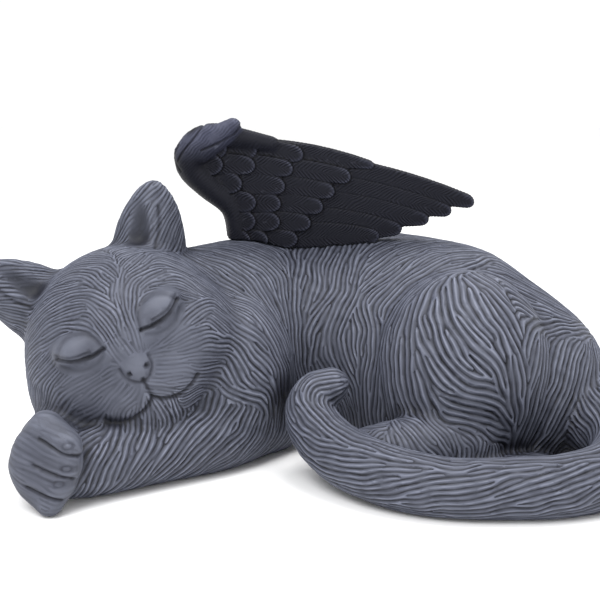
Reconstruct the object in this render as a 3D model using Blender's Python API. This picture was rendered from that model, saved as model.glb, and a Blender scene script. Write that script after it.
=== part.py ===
"""Memorial statue of a sleeping cat with a pair of wings, cast in resin.

The cat is shaped like clay: round masses are blended into one another as a distance field, and the field's
zero surface becomes the mesh. The wings are two thin castings that are glued onto the back.
Lengths inside the figure are in clay millimetres, which STATUE_LENGTH turns into metres.
"""

import math

import bpy
import numpy as np
import openvdb

# Overall length of the statue in metres, and the same length in clay millimetres
STATUE_LENGTH = 0.283
CLAY_LENGTH = 283.0
METRE_PER_CLAY_MM = STATUE_LENGTH / CLAY_LENGTH

# Width of the glue joint between a wing's foot and the back, in metres
GLUE_JOINT = 0.0003

# How far from the ground plane the underside is trued to it, in metres
UNDERSIDE_TRUING = 0.0005

# The point of the clay's ground plan that becomes the origin, in clay millimetres
PLAN_CENTRE = (7.0, -16.3)

# Fineness of the meshes: size of a field cell in clay millimetres, and number of triangles
CAT_CELL = 2.0
CAT_TRIANGLES = 6400
WING_CELL = 1.0
WING_TRIANGLES = 1700

# The parts of the clay's space that hold the cat and the left wing: lowest and highest corner
CAT_SPACE = ((-150.0, -116.0, -4.0), (156.0, 90.0, 132.0))
WING_SPACE = ((-62.0, -24.0, 72.0), (86.0, 26.0, 152.0))

# Cast resin of the cat and of the wings: colours and roughness
CAT_COLOUR = (0.125, 0.135, 0.175, 1.0)
WING_COLOUR = (0.035, 0.037, 0.048, 1.0)
RESIN_ROUGHNESS = 0.6


def ball(points, centre, radii, axes=None):
    """Distance to an ellipsoid, negative inside. The columns of axes are its own directions."""
    local = points - np.float32(centre)
    if axes is not None:
        local = local @ axes
    radii = np.float32(radii)
    reach = np.linalg.norm(local / radii, axis=-1)
    steepness = np.linalg.norm(local / (radii * radii), axis=-1)
    return reach * (reach - 1.0) / np.maximum(steepness, 1e-6)


def smooth_path(stations, steps=4):
    """A curve through the stations, each a row of coordinates and a radius."""
    rows = np.array(stations, float)
    padded = np.vstack([2 * rows[0] - rows[1], rows, 2 * rows[-1] - rows[-2]])
    path = []
    for before, start, end, after in zip(padded, padded[1:], padded[2:], padded[3:]):
        for t in np.arange(steps) / steps:
            path.append(
                start
                + 0.5 * t * (end - before)
                + t * t * (before - 2.5 * start + 2 * end - 0.5 * after)
                + t**3 * (1.5 * start - 0.5 * before - 1.5 * end + 0.5 * after)
            )
    path.append(rows[-1])
    return np.array(path)


def limb(points, stations, steps=4):
    """Distance to a tapering round limb along a smooth curve through (x, y, z, radius) stations."""
    path = smooth_path(stations, steps).astype(np.float32)
    nearest = np.full(points.shape[:-1], 1e9, np.float32)
    for start, end in zip(path, path[1:]):
        along = end[:3] - start[:3]
        offset = points - start[:3]
        share = np.clip(offset @ along / max(float(along @ along), 1e-6), 0, 1)
        gap = np.linalg.norm(offset - share[..., None] * along, axis=-1)
        nearest = np.minimum(nearest, gap - (start[3] + share * (end[3] - start[3])))
    return nearest


def merge(first, second, softness):
    """Union of two distance fields whose joint is rounded over the given width."""
    overlap = np.maximum(softness - np.abs(first - second), 0) / softness
    return np.minimum(first, second) - overlap * overlap * softness * 0.25


def carve(field, tool, softness):
    """The field with the tool's shape taken out of it, with a rounded edge."""
    return -merge(-field, tool, softness)


def turned_axes(yaw, pitch, roll):
    """Right, back and up directions of a head whose face looks along -Y before it is turned, in degrees."""
    yaw, pitch, roll = (math.radians(angle) for angle in (yaw, pitch, roll))
    face = np.array([math.sin(yaw) * math.cos(pitch), -math.cos(yaw) * math.cos(pitch), math.sin(pitch)])
    right = np.array([math.cos(yaw), math.sin(yaw), 0.0])
    up = np.cross(face, -right)
    up = -up if up[2] < 0 else up
    rolled_right = math.cos(roll) * right + math.sin(roll) * up
    rolled_up = math.cos(roll) * up - math.sin(roll) * right
    return np.column_stack([rolled_right, -face, rolled_up]).astype(np.float32)


# The head, turned towards the viewer and laid over onto the forelegs
HEAD_CENTRE = (-74.0, -32.0, 54.0)
HEAD_AXES = turned_axes(yaw=11.5, pitch=5.0, roll=25.0)


def head(points):
    local = (points - np.float32(HEAD_CENTRE)) @ HEAD_AXES
    shape = ball(local, (0, 4, 3), (41.5, 39, 35.5))
    for side in (-1, 1):
        shape = merge(shape, ball(local, (side * 21, -9, -11), (25, 27, 23)), 12)
    shape = merge(shape, ball(local, (0, -18, -22), (23, 19, 16)), 12)
    shape = merge(shape, limb(local, [(0, -28, 12, 9), (0, -32, 3, 8.5), (0, -35, -4, 6.5)]), 12)
    for side in (-1, 1):
        shape = merge(shape, ball(local, (side * 9, -28.5, -16.5), (13, 12, 9)), 7)
        shape = merge(shape, ball(local, (side * 17.3, -28, 8.8), (10.5, 10, 6.6)), 2)
    shape = merge(shape, ball(local, (0, -27.5, -28), (11, 9, 6.5)), 6)
    shape = merge(shape, ball(local, (0, -39, -7), (6, 4.2, 4.5)), 1.5)
    for side in (-1, 1):
        shape = merge(shape, ear(local, side), 4)
    return shape


# The ears: base and tip of the left one, in the head's own directions
EAR_BASE = (25.0, 2.0, 26.0)
EAR_TIP = (41.0, 2.0, 54.0)
EAR_HALF_WIDTH = 15.5
EAR_BASE_THICKNESS = 9.0
EAR_TIP_THICKNESS = 4.4
EAR_HOLLOW_CENTRE = (6.3, -3.2, 9.0)
EAR_HOLLOW_RADII = (4.8, 4.0, 15.0)


def ear(local, side):
    """One ear: a leaning, pointed blade that is bent into a cup towards the face."""
    base, tip = np.array(EAR_BASE), np.array(EAR_TIP)
    length = float(np.linalg.norm(tip - base))
    along = (tip - base) / length
    across = np.cross(along, [0, 1, 0])
    across /= np.linalg.norm(across)
    axes = np.column_stack([across, np.cross(across, along), along]).astype(np.float32)
    own = (local * np.float32([side, 1, 1]) - np.float32(base)) @ axes
    height = own[..., 2] / length
    taper = np.clip(height, 0, 1)
    half_width = EAR_HALF_WIDTH * (1 - taper**1.9) ** 0.65 + 0.5
    thickness = EAR_BASE_THICKNESS + (EAR_TIP_THICKNESS - EAR_BASE_THICKNESS) * taper
    cup = own[..., 1] - 0.045 * own[..., 0] ** 2
    blade = np.maximum(np.abs(own[..., 0]) - half_width, np.abs(cup) - thickness / 2)
    blade = np.maximum(blade, np.abs(own[..., 2] - length / 4) - length * 0.75) * 0.8
    return carve(blade, ball(own, EAR_HOLLOW_CENTRE, EAR_HOLLOW_RADII), 1.5)


def torso(points):
    shape = limb(points, [(-22, 18, 42, 40), (10, 27, 44, 44), (42, 27, 45, 46), (66, 16, 42, 44)], 3)
    shape = merge(shape, ball(points, (66, 4, 26), (54, 50, 59)), 14)
    shape = merge(shape, ball(points, (97, -2, 24), (43, 44, 43)), 14)
    shape = merge(shape, ball(points, (70, -60, 0), (52, 28, 11)), 6)
    shape = merge(shape, ball(points, (-26, 0, 46), (28, 30, 38)), 10)
    return merge(shape, limb(points, [(-30, 14, 58, 30), (-55, -10, 58, 30)], 2), 14)


def shoulder(points):
    return ball(points, (-30, -28, 38), (27, 27, 33))


def haunch(points):
    return ball(points, (70, -28, 36), (38, 34, 46))


def foreleg(points):
    """The near foreleg: upper arm down to the elbow, then the forearm along the ground to the far paw."""
    arm = limb(points, [(-22, -6, 50, 22), (-15, -12, 30, 19), (-14, -16, 16, 16)], 3)
    lower = limb(
        points,
        [(-14, -18, 16, 16), (-34, -39, 16, 18), (-60, -59, 15, 15.5), (-80, -73, 14, 14), (-90, -79, 13, 12)],
    )
    return merge(arm, lower, 8)


# Toes of the far paw: height, place of the tip and of the knuckle across, and radius
TOES = (
    (27.8, -86.0, -95.0, 5.8),
    (20.0, -86.2, -100.5, 5.8),
    (12.0, -89.5, -102.0, 5.8),
    (4.8, -93.5, -99.5, 5.2),
)


def far_paw(points):
    """The other forepaw, which comes round from behind the head and lies with its toes to the right."""
    shape = limb(points, [(-90, -46, 20, 14), (-97, -68, 19, 14), (-96, -84, 17, 13)], 3)
    for height, tip, knuckle, radius in TOES:
        toe = limb(points, [(knuckle, -88, height + 4.5, radius + 1), (tip, -94, height, radius)], 2)
        shape = merge(shape, toe, 5)
    return shape


def hind_foot(points):
    return limb(points, [(68, -50, 14, 15), (42, -58, 12, 14), (22, -62, 10, 12)])


def tail(points):
    return limb(
        points,
        [
            (126, -26, 18, 19), (133, -54, 14, 15), (121, -80, 12, 13), (99, -92, 11, 12),
            (74, -95, 11, 11.5), (52, -93, 11, 11.5), (32, -84, 12.5, 12), (15, -69, 16, 12),
            (5, -55, 24, 11), (6, -47, 32, 10), (13, -45, 36.5, 7.5),
        ],
    )


def cat(points):
    """The whole cat, standing on the ground plane."""
    shape = torso(points)
    shape = merge(shape, haunch(points), 3)
    shape = merge(shape, hind_foot(points), 4)
    shape = merge(shape, shoulder(points), 8)
    shape = merge(shape, foreleg(points), 4)
    shape = merge(shape, head(points), 3)
    shape = merge(shape, far_paw(points), 3)
    shape = merge(shape, tail(points), 2.5)
    return np.maximum(shape, -points[..., 2])


# The left wing, in its own directions: a runs back along the spine, b up, and c out to the viewer's side
WING_FOOT = (-33.0, 16.0, 84.0)

# The plane in which the right wing mirrors the left one: a point on the spine, and its turn and lean in degrees
SPINE_POINT = (5.0, 26.0, 84.0)
SPINE_TURN = 5.5
SPINE_LEAN = 4.5

# Lanes of feathers from the foot of the wing to its top edge: height at the front edge, then where the lane's
# flight feather ends, and how far back the tips of its scale, covert and long covert reach
LANES = [
    (5.5, (70.0, 7.4), (11.0, 19.0, 32.5)),
    (15.0, (80.0, 10.5), (13.5, 24.5, 38.5)),
    (24.0, (92.0, 15.0), (14.0, 25.0, 44.0)),
    (32.5, (102.0, 19.0), (8.0, 27.0, 49.0)),
    (41.0, (112.0, 23.0), (0.0, 14.0, 30.5, 56.0)),
    (48.0, (66.0, 40.0), (2.0, 15.0, 35.0)),
]
LANE_HALF_WIDTH = 5.4
WING_BACK = 2.2
FLIGHT_HALF_WIDTH = 8.2

# Where the lanes start behind the arm: heights and the distances along the spine that go with them
LANE_HEIGHTS = (0.0, 15.0, 24.0, 33.0, 42.0, 50.0)
LANE_STARTS = (2.0, 3.0, 0.0, -8.0, -14.0, -12.0)


def wing_directions(points):
    """The wing's own directions, whose sheet leans out and curls over towards the viewer as it rises."""
    a = points[..., 0] - WING_FOOT[0]
    b = points[..., 2] - WING_FOOT[2]
    rise = np.clip(b, 0, None)
    c = WING_FOOT[1] - 0.30 * rise - 0.002 * rise * rise - points[..., 1]
    return np.stack([a, b, c * 0.93], axis=-1)


def feather(a, b, c, lane, reach, half_width, level, tilt=1.6):
    """One feather as a thin plate along its lane, whose rounded tip stands proud of what lies behind it."""
    root_height, (end_a, end_b), _ = lane
    start = np.interp(root_height, LANE_HEIGHTS, LANE_STARTS)
    share = np.clip((a - start) / (reach - start), 0, 1)
    centre = root_height + (end_b - root_height) * np.clip(a / end_a, 0, 1) ** 1.6
    pointed = 0.65 if reach > 60 else 0.3
    width = half_width * (1 - pointed * np.clip((share - 0.5) / 0.5, 0, 1) ** 2)
    across = np.abs(b - centre) - width
    beyond = a - reach + width
    corner = np.hypot(np.maximum(beyond, 0), np.maximum(across + width, 0)) - width
    flat = np.where(beyond > 0, corner, np.maximum(across, start - a))
    top = level + tilt * share
    return -merge(-flat, -(c - top), 0.8)


def wing_sheet(own):
    """All feathers of the sheet, each lane starting with its flight feather at the bottom."""
    a, b, c = own[..., 0], own[..., 1], own[..., 2]
    shape = None
    for lane in LANES:
        end = lane[1][0]
        flight_width = FLIGHT_HALF_WIDTH if end > 69 else LANE_HALF_WIDTH
        plates = [feather(a, b, c, lane, end, flight_width, 1.2)]
        for rank, reach in enumerate(reversed(lane[2])):
            plates.append(feather(a, b, c, lane, reach, LANE_HALF_WIDTH, 2.2 + 0.9 * rank))
        for plate in plates:
            shape = plate if shape is None else np.minimum(shape, plate)
    return np.maximum(shape, -c - WING_BACK)


def wing_arm(own):
    """The round leading edge: up from the foot, forward to the wrist and over the top."""
    return limb(
        own,
        [
            (4, -8, 1, 4.5), (4, 12, 1, 4.5), (1, 22, 1, 5), (-8, 31, 2, 6), (-15, 40, 3, 6.5),
            (-13, 49, 4, 6), (-5, 53.5, 4, 5.5), (5, 53, 3, 4.5), (20, 50, 2, 3.5),
        ],
    )


def wing_cap(own):
    """Three big feathers that wrap the bend of the wing."""
    shape = limb(own, [(-13, 35, 4, 4), (-17, 44, 5, 5), (-14, 50, 5, 4.2)])
    shape = merge(shape, limb(own, [(-14, 42, 6, 4), (-11, 49, 6.5, 5), (-6, 54, 5.5, 4.2)]), 1.5)
    return merge(shape, limb(own, [(-9, 46, 7, 4), (-2, 53, 7, 5), (4.5, 57.5, 5.5, 3.8)]), 1.5)


def left_wing(points):
    own = wing_directions(points)
    shape = merge(wing_sheet(own), wing_arm(own), 1.5)
    return merge(shape, wing_cap(own), 0.8)


def mirror_in_spine(obj):
    """Turns the left wing into the right one."""
    turn, lean = math.radians(SPINE_TURN), math.radians(SPINE_LEAN)
    normal = np.array([-math.sin(turn) * math.cos(lean), math.cos(turn) * math.cos(lean), -math.sin(lean)])
    places = vertex_array(obj.data)
    distance = (places - np.array(SPINE_POINT)) @ normal
    set_vertices(obj.data, places - 2 * distance[:, None] * normal)
    obj.data.flip_normals()


def grid_points(low, high, cell):
    axes = [np.arange(a, b + cell, cell, dtype=np.float32) for a, b in zip(low, high)]
    return np.stack(np.meshgrid(*axes, indexing="ij"), axis=-1)


def mesh_of_field(name, field, space, cell):
    """A mesh object whose surface is where the field is zero, in clay millimetres."""
    low, high = space
    values = field(grid_points(low, high, cell)).astype(np.float32)
    grid = openvdb.FloatGrid(1e3)
    grid.copyFromArray(values)
    vertices, triangles, quads = grid.convertToPolygons(isovalue=0.0, adaptivity=0.0)
    vertices = vertices * cell + np.float32(low)
    mesh = bpy.data.meshes.new(name)
    mesh.from_pydata(vertices.tolist(), [], triangles.tolist() + quads.tolist())
    obj = bpy.data.objects.new(name, mesh)
    bpy.context.scene.collection.objects.link(obj)
    return obj


def apply_modifier(obj, kind, **settings):
    modifier = obj.modifiers.new(kind, kind)
    for setting, value in settings.items():
        setattr(modifier, setting, value)
    evaluated = obj.evaluated_get(bpy.context.evaluated_depsgraph_get())
    mesh = bpy.data.meshes.new_from_object(evaluated)
    obj.modifiers.clear()
    old_mesh = obj.data
    obj.data = mesh
    bpy.data.meshes.remove(old_mesh)


def simplify(obj, triangles):
    """Collapses edges until the mesh has about the given number of triangles."""
    apply_modifier(obj, "TRIANGULATE")
    apply_modifier(obj, "DECIMATE", ratio=triangles / len(obj.data.polygons))


def vertex_array(mesh):
    places = np.empty(len(mesh.vertices) * 3)
    mesh.vertices.foreach_get("co", places)
    return places.reshape(-1, 3)


def set_vertices(mesh, places):
    mesh.vertices.foreach_set("co", np.ascontiguousarray(places).ravel())
    mesh.update()


def to_statue_size(obj):
    """Scales the clay to metres and puts the middle of its ground plan on the origin."""
    places = vertex_array(obj.data) - np.array([*PLAN_CENTRE, 0.0])
    set_vertices(obj.data, places * METRE_PER_CLAY_MM)


def flatten_underside(obj):
    """Puts what lies just above or below the ground plane on it."""
    places = vertex_array(obj.data)
    places[np.abs(places[:, 2]) < UNDERSIDE_TRUING, 2] = 0.0
    set_vertices(obj.data, places)


def keep_largest_body(obj):
    """Removes small loose bodies, which a cut can leave behind."""
    mesh = obj.data
    edges = np.empty(len(mesh.edges) * 2, int)
    mesh.edges.foreach_get("vertices", edges)
    ends = edges.reshape(-1, 2)
    label = np.arange(len(mesh.vertices))
    changed = True
    while changed:
        lowest = np.minimum(label[ends[:, 0]], label[ends[:, 1]])
        spread = label.copy()
        np.minimum.at(spread, ends[:, 0], lowest)
        np.minimum.at(spread, ends[:, 1], lowest)
        spread = spread[spread]
        changed = bool((spread != label).any())
        label = spread
    largest = np.bincount(label).argmax()
    faces = [list(face.vertices) for face in mesh.polygons if label[face.vertices[0]] == largest]
    kept = np.flatnonzero(label == largest)
    number = {int(vertex): index for index, vertex in enumerate(kept)}
    cleaned = bpy.data.meshes.new(mesh.name)
    places = vertex_array(mesh)[kept]
    cleaned.from_pydata(places.tolist(), [], [[number[vertex] for vertex in face] for face in faces])
    obj.data = cleaned
    bpy.data.meshes.remove(mesh)


def cut_foot(blade, body):
    """Cuts the wing's foot to the shape of the back, leaving the glue joint open."""
    cutter = body.copy()
    cutter.data = body.data.copy()
    bpy.context.scene.collection.objects.link(cutter)
    normals = np.empty(len(cutter.data.vertices) * 3)
    cutter.data.vertex_normals.foreach_get("vector", normals)
    set_vertices(cutter.data, vertex_array(cutter.data) + GLUE_JOINT * 1.1 * normals.reshape(-1, 3))
    apply_modifier(blade, "BOOLEAN", operation="DIFFERENCE", solver="EXACT", object=cutter)
    bpy.data.objects.remove(cutter)
    keep_largest_body(blade)


def resin(name, colour):
    material = bpy.data.materials.new(name)
    material.use_nodes = True
    shader = material.node_tree.nodes["Principled BSDF"]
    shader.inputs["Base Color"].default_value = colour
    shader.inputs["Roughness"].default_value = RESIN_ROUGHNESS
    return material


def finish_casting(obj, material):
    obj.data.materials.clear()
    obj.data.materials.append(material)
    obj.data.shade_smooth()


def main():
    for obj in list(bpy.data.objects):
        bpy.data.objects.remove(obj)
    body = mesh_of_field("sleeping_cat", cat, CAT_SPACE, CAT_CELL)
    simplify(body, CAT_TRIANGLES)
    to_statue_size(body)
    flatten_underside(body)
    finish_casting(body, resin("cat_resin", CAT_COLOUR))
    wing_resin = resin("wing_resin", WING_COLOUR)
    for name, side in (("left_wing", -1), ("right_wing", 1)):
        blade = mesh_of_field(name, left_wing, WING_SPACE, WING_CELL)
        simplify(blade, WING_TRIANGLES)
        if side > 0:
            mirror_in_spine(blade)
        to_statue_size(blade)
        cut_foot(blade, body)
        finish_casting(blade, wing_resin)


main()
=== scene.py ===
"""Visual model of the sleeping cat statue with wings: the same clay forms as the solids, with carved fur,
a finished face and feathers with barbs, in painted resin under soft studio light.

Lengths inside the figure are in clay millimetres, which METRE_PER_CLAY_MM turns into metres.
"""

import math
from concurrent.futures import ThreadPoolExecutor

import bpy
import numpy as np
import openvdb
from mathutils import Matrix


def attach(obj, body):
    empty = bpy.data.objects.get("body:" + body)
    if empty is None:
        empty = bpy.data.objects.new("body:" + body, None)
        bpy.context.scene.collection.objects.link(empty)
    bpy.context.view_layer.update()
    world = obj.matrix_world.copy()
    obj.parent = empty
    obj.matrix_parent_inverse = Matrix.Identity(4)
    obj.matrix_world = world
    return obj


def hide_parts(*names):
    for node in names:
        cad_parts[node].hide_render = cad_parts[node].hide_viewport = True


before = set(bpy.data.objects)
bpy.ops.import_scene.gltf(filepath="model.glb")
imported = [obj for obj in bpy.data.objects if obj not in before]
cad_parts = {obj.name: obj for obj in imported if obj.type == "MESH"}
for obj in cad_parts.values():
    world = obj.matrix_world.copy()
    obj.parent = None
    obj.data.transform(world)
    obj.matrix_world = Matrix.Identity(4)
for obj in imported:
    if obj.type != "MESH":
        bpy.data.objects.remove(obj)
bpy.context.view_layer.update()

# Size of the figure as in the solids, in metres and in clay millimetres
STATUE_LENGTH = 0.283
CLAY_LENGTH = 283.0
METRE_PER_CLAY_MM = STATUE_LENGTH / CLAY_LENGTH

# The place in the clay's ground plan that is the origin, and the width of the glue joint under a wing
PLAN_CENTRE = (7.0, -16.3)
GLUE_WIDTH = 0.3

# Fineness of the clay: cell of the distance field in clay millimetres, and triangles of the finished pieces
CAT_CELL = 1.5
CAT_TRIANGLES = 196000
WING_CELL = 0.7
WING_TRIANGLES = 110000

# The parts of the clay's space that hold the cat and the left wing: lowest and highest corner
CAT_SPACE = ((-150.0, -116.0, -4.5), (156.0, 90.0, 132.0))
WING_SPACE = ((-62.0, -24.0, 72.0), (86.0, 26.0, 152.0))


# Clay: distance fields of the round masses, negative inside


def ball(points, centre, radii):
    """Distance to an ellipsoid."""
    local = points - np.float32(centre)
    radii = np.float32(radii)
    reach = np.linalg.norm(local / radii, axis=-1)
    steepness = np.linalg.norm(local / (radii * radii), axis=-1)
    return reach * (reach - 1.0) / np.maximum(steepness, 1e-6)


def smooth_path(stations, steps=4):
    """A curve through the stations, each a row of coordinates and a radius."""
    rows = np.array(stations, float)
    padded = np.vstack([2 * rows[0] - rows[1], rows, 2 * rows[-1] - rows[-2]])
    path = []
    for before, start, end, after in zip(padded, padded[1:], padded[2:], padded[3:]):
        for t in np.arange(steps) / steps:
            path.append(
                start
                + 0.5 * t * (end - before)
                + t * t * (before - 2.5 * start + 2 * end - 0.5 * after)
                + t**3 * (1.5 * start - 0.5 * before - 1.5 * end + 0.5 * after)
            )
    path.append(rows[-1])
    return np.array(path)


def to_stretch(points, start, end):
    """How far along a straight stretch the place nearest to each point is, as a share, and the gap to it."""
    along = end - start
    offset = points - start
    share = np.clip(offset @ along / max(float(along @ along), 1e-6), 0, 1)
    return share, np.linalg.norm(offset - share[..., None] * along, axis=-1)


def limb(points, stations, steps=4):
    """Distance to a tapering round limb along a smooth curve through (x, y, z, radius) stations."""
    path = smooth_path(stations, steps).astype(np.float32)
    nearest = np.full(points.shape[:-1], 1e9, np.float32)
    for start, end in zip(path, path[1:]):
        share, gap = to_stretch(points, start[:3], end[:3])
        nearest = np.minimum(nearest, gap - (start[3] + share * (end[3] - start[3])))
    return nearest


def merge(first, second, softness):
    """Union of two distance fields whose joint is rounded over the given width."""
    overlap = np.maximum(softness - np.abs(first - second), 0) / softness
    return np.minimum(first, second) - overlap * overlap * softness * 0.25


def carve(field, tool, softness):
    """The field with the tool's shape taken out of it, with a rounded edge."""
    return -merge(-field, tool, softness)


def turned_axes(yaw, pitch, roll):
    """Right, back and up directions of a head whose face looks along -Y before it is turned, in degrees."""
    yaw, pitch, roll = (math.radians(angle) for angle in (yaw, pitch, roll))
    face = np.array([math.sin(yaw) * math.cos(pitch), -math.cos(yaw) * math.cos(pitch), math.sin(pitch)])
    right = np.array([math.cos(yaw), math.sin(yaw), 0.0])
    up = np.cross(face, -right)
    up = -up if up[2] < 0 else up
    rolled_right = math.cos(roll) * right + math.sin(roll) * up
    rolled_up = math.cos(roll) * up - math.sin(roll) * right
    return np.column_stack([rolled_right, -face, rolled_up]).astype(np.float32)


# The head, turned towards the viewer and laid over onto the forelegs
HEAD_CENTRE = (-74.0, -32.0, 54.0)
HEAD_AXES = turned_axes(yaw=11.5, pitch=5.0, roll=25.0)


def head_directions(points):
    return (points - np.float32(HEAD_CENTRE)) @ HEAD_AXES


def skull(local):
    shape = ball(local, (0, 4, 3), (41.5, 39, 35.5))
    for side in (-1, 1):
        shape = merge(shape, ball(local, (side * 21, -9, -11), (25, 27, 23)), 12)
    shape = merge(shape, ball(local, (0, -18, -22), (23, 19, 16)), 12)
    shape = merge(shape, limb(local, [(0, -28, 12, 9), (0, -32, 3, 8.5), (0, -35, -4, 6.5)]), 12)
    for side in (-1, 1):
        shape = merge(shape, ball(local, (side * 9, -28.5, -16.5), (13, 12, 9)), 7)
        shape = merge(shape, ball(local, (side * 17.3, -28, 8.8), (10.5, 10, 6.6)), 2)
    shape = merge(shape, ball(local, (0, -27.5, -28), (11, 9, 6.5)), 6)
    return merge(shape, ball(local, (0, -39, -7), (6, 4.2, 4.5)), 1.5)


# The ears: base and tip of the left one, in the head's own directions
EAR_BASE = (25.0, 2.0, 26.0)
EAR_TIP = (41.0, 2.0, 54.0)
EAR_HALF_WIDTH = 15.5
EAR_BASE_THICKNESS = 9.0
EAR_TIP_THICKNESS = 4.4
EAR_HOLLOW_CENTRE = (6.3, -3.2, 9.0)
EAR_HOLLOW_RADII = (4.8, 4.0, 15.0)
EAR_CUPPING = 0.045


def ear_directions(local, side):
    """Across, front to back and along the ear, with the ear's length."""
    base, tip = np.array(EAR_BASE), np.array(EAR_TIP)
    length = float(np.linalg.norm(tip - base))
    along = (tip - base) / length
    across = np.cross(along, [0, 1, 0])
    across /= np.linalg.norm(across)
    axes = np.column_stack([across, np.cross(across, along), along]).astype(np.float32)
    return (local * np.float32([side, 1, 1]) - np.float32(base)) @ axes, length


def ear(local, side):
    """One ear: a leaning, pointed blade that is bent into a cup towards the face."""
    own, length = ear_directions(local, side)
    height = own[..., 2] / length
    taper = np.clip(height, 0, 1)
    half_width = EAR_HALF_WIDTH * (1 - taper**1.9) ** 0.65 + 0.5
    thickness = EAR_BASE_THICKNESS + (EAR_TIP_THICKNESS - EAR_BASE_THICKNESS) * taper
    cup = own[..., 1] - EAR_CUPPING * own[..., 0] ** 2
    blade = np.maximum(np.abs(own[..., 0]) - half_width, np.abs(cup) - thickness / 2)
    blade = np.maximum(blade, np.abs(own[..., 2] - length / 4) - length * 0.75) * 0.8
    return carve(blade, ball(own, EAR_HOLLOW_CENTRE, EAR_HOLLOW_RADII), 1.5)


def torso(points):
    shape = limb(points, [(-22, 18, 42, 40), (10, 27, 44, 44), (42, 27, 45, 46), (66, 16, 42, 44)], 3)
    shape = merge(shape, ball(points, (66, 4, 26), (54, 50, 59)), 14)
    shape = merge(shape, ball(points, (97, -2, 24), (43, 44, 43)), 14)
    shape = merge(shape, ball(points, (70, -60, 0), (52, 28, 11)), 6)
    shape = merge(shape, ball(points, (-26, 0, 46), (28, 30, 38)), 10)
    return merge(shape, limb(points, [(-30, 14, 58, 30), (-55, -10, 58, 30)], 2), 14)


def shoulder(points):
    return ball(points, (-30, -28, 38), (27, 27, 33))


def haunch(points):
    return ball(points, (70, -28, 36), (38, 34, 46))


def foreleg(points):
    """The near foreleg: upper arm down to the elbow, then the forearm along the ground to the far paw."""
    arm = limb(points, [(-22, -6, 50, 22), (-15, -12, 30, 19), (-14, -16, 16, 16)], 3)
    elbow = [(-14, -18, 16, 16), (-34, -39, 16, 18), (-60, -59, 15, 15.5)]
    wrist = [(-80, -73, 14, 14), (-90, -79, 13, 12)]
    return merge(arm, limb(points, elbow + wrist), 8)


# Toes of the far paw: height, place of the tip and of the knuckle across, and radius
TOES = (
    (27.8, -86.0, -95.0, 5.8),
    (20.0, -86.2, -100.5, 5.8),
    (12.0, -89.5, -102.0, 5.8),
    (4.8, -93.5, -99.5, 5.2),
)


def far_paw(points):
    """The other forepaw, which comes round from behind the head and lies with its toes to the right."""
    shape = limb(points, [(-90, -46, 20, 14), (-97, -68, 19, 14), (-96, -84, 17, 13)], 3)
    for height, tip, knuckle, radius in TOES:
        toe = limb(points, [(knuckle, -88, height + 4.5, radius + 1), (tip, -94, height, radius)], 2)
        shape = merge(shape, toe, 5)
    return shape


def hind_foot(points):
    return limb(points, [(68, -50, 14, 15), (42, -58, 12, 14), (22, -62, 10, 12)])


TAIL_STATIONS = [
    (126, -26, 18, 19), (133, -54, 14, 15), (121, -80, 12, 13), (99, -92, 11, 12), (74, -95, 11, 11.5),
    (52, -93, 11, 11.5), (32, -84, 12.5, 12), (15, -69, 16, 12), (5, -55, 24, 11), (6, -47, 32, 10),
    (13, -45, 36.5, 7.5),
]


def tail(points):
    return limb(points, TAIL_STATIONS)


def cat_parts(points):
    """Distances to the cat's masses, each of which has its own lie of the fur."""
    local = head_directions(points)
    ears = np.minimum(ear(local, -1), ear(local, 1))
    return {
        "torso": torso(points),
        "haunch": haunch(points),
        "hind_foot": hind_foot(points),
        "shoulder": shoulder(points),
        "foreleg": foreleg(points),
        "head": skull(local),
        "ears": ears,
        "far_paw": far_paw(points),
        "tail": tail(points),
    }


def join_parts(parts, points):
    """The whole cat from its masses, standing on the ground plane."""
    shape = merge(parts["torso"], parts["haunch"], 3)
    shape = merge(shape, parts["hind_foot"], 4)
    shape = merge(shape, parts["shoulder"], 8)
    shape = merge(shape, parts["foreleg"], 4)
    shape = merge(shape, merge(parts["head"], parts["ears"], 4), 3)
    shape = merge(shape, parts["far_paw"], 3)
    shape = merge(shape, parts["tail"], 2.5)
    return np.maximum(shape, -points[..., 2])


# The photograph's viewpoint in clay millimetres, its downward tilt in degrees, and its picture in pixels
CAMERA_PLACE = (0.0, -450.0, 152.0)
CAMERA_TILT = 11.1
PICTURE_WIDTH = 600.0
FOCAL_LENGTH = 1012.0

TILT_SINE, TILT_COSINE = math.sin(math.radians(CAMERA_TILT)), math.cos(math.radians(CAMERA_TILT))
GAZE = np.float32([0.0, TILT_COSINE, -TILT_SINE])
PICTURE_RIGHT = np.float32([1.0, 0.0, 0.0])
PICTURE_DOWN = np.float32([0.0, -TILT_SINE, -TILT_COSINE])


def in_picture(points):
    """Pixels across and down at which the points of the clay are seen."""
    offset = points - np.float32(CAMERA_PLACE)
    depth = offset @ GAZE
    middle = PICTURE_WIDTH / 2
    across = middle + FOCAL_LENGTH * (offset @ PICTURE_RIGHT) / depth
    down = middle + FOCAL_LENGTH * (offset @ PICTURE_DOWN) / depth
    return across, down


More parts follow.
